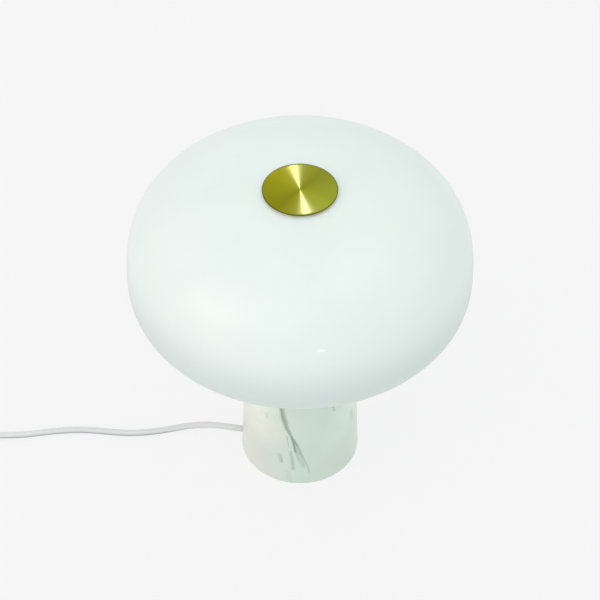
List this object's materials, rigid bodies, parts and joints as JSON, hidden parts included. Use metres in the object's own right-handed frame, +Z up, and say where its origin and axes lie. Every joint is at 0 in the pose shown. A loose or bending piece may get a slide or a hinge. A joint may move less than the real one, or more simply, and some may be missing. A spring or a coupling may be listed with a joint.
{
  "type": "mushroom table lamp",
  "caption": "Mushroom table lamp: wide opal glass shade clamped by a round brass cap on a tapered marble base, with inline switch, cord and plug.",
  "frame": {"origin": "on the floor, under the lamp's vertical axis", "axes": "+Z up along the stem, the cord leaves the base towards -X, -Y faces the viewer"},
  "size_m": [0.6529, 0.3, 0.3226],
  "materials": {
    "felt": "pressed felt",
    "marble": "polished white marble with grey veins",
    "nylon_white": "moulded nylon",
    "zinc_steel": "zinc plated",
    "steel_screw": "zinc plated",
    "brass_fixing": "plain turned",
    "spun_brass": "spun, fine turning lines",
    "pin_metal": "nickel plated",
    "cord_pvc": "white PVC sheath",
    "core_pvc": "PVC insulation",
    "lead_silicone": "silicone insulation",
    "terminal_plastic": "polyamide",
    "white_enamel": "white powder coat",
    "silicone": "translucent silicone",
    "ceramic": "unglazed steatite",
    "bulb_ceramic": "white ceramic",
    "bulb_frost": "frosted diffuser",
    "opal_glass": "glossy white opal glass",
    "switch_plastic": "moulded",
    "rocker_plastic": "moulded",
    "plug_plastic": "moulded PVC",
    "sleeve_plastic": "pin insulation",
    "tie_plastic": "nylon strap"
  },
  "bodies": {
    "base": {"foot_pad": "felt", "marble_base": "marble", "cord_bush": "nylon_white", "carrier_plate": "zinc_steel", "cord_clamp_seat": "nylon_white", "cord_clamp_bar": "nylon_white", "cord_clamp_screws": "steel_screw", "cord_inner": "cord_pvc", "terminal_block": "terminal_plastic", "terminal_screws": "steel_screw", "terminal_fixing_screw": "steel_screw", "cord_cores": "core_pvc", "stem_wires": "core_pvc", "holder_leads": "lead_silicone", "stem_tube": "zinc_steel", "stem_nuts": "brass_fixing", "stem_washers": "zinc_steel", "lampholder_pan": "white_enamel", "junction_ring": "terminal_plastic", "shade_gasket": "silicone", "lampholder_1": "ceramic", "lampholder_2": "ceramic", "lampholder_3": "ceramic", "bulb_base_1": "bulb_ceramic", "bulb_base_2": "bulb_ceramic", "bulb_base_3": "bulb_ceramic", "bulb_globe_1": "bulb_frost", "bulb_globe_2": "bulb_frost", "bulb_globe_3": "bulb_frost", "holder_screws": "steel_screw", "bulb_pins": "pin_metal", "switch_lower_case": "switch_plastic", "switch_upper_case": "switch_plastic", "switch_pivot_pin": "pin_metal", "switch_cord_ends": "cord_pvc", "switch_cord_saddles": "zinc_steel", "switch_saddle_screws": "steel_screw", "switch_contacts": "brass_fixing", "switch_case_screws": "steel_screw", "plug_body": "plug_plastic", "plug_strain_relief": "plug_plastic", "plug_pins": "pin_metal", "plug_pin_sleeves": "sleeve_plastic", "cord_lead": "cord_pvc", "cord_middle": "cord_pvc", "cord_tail": "cord_pvc", "cord_coil": "cord_pvc", "cord_tie": "tie_plastic"},
    "shade": {"opal_shade": "opal_glass", "cap_grommet": "silicone"},
    "cap": {"cap_insert": "brass_fixing", "brass_cap": "spun_brass"},
    "rocker": {"switch_rocker": "rocker_plastic"}
  },
  "joints": [
    {"name": "shade_lift", "type": "slide", "parent": "base", "child": "shade", "axis": [0, 0, 1], "range_m": [0, 0.16]},
    {"name": "cap_turn", "type": "hinge", "parent": "shade", "child": "cap", "pos_m": [0, 0, 0.3208], "axis": [0, 0, 1], "range_deg": [0, 3600]},
    {"name": "switch_rock", "type": "hinge", "parent": "base", "child": "rocker", "pos_m": [-0.366, 0.005, 0.0132], "axis": [-0.0698, -0.9976, 0], "range_deg": [0, 14]}
  ]
}
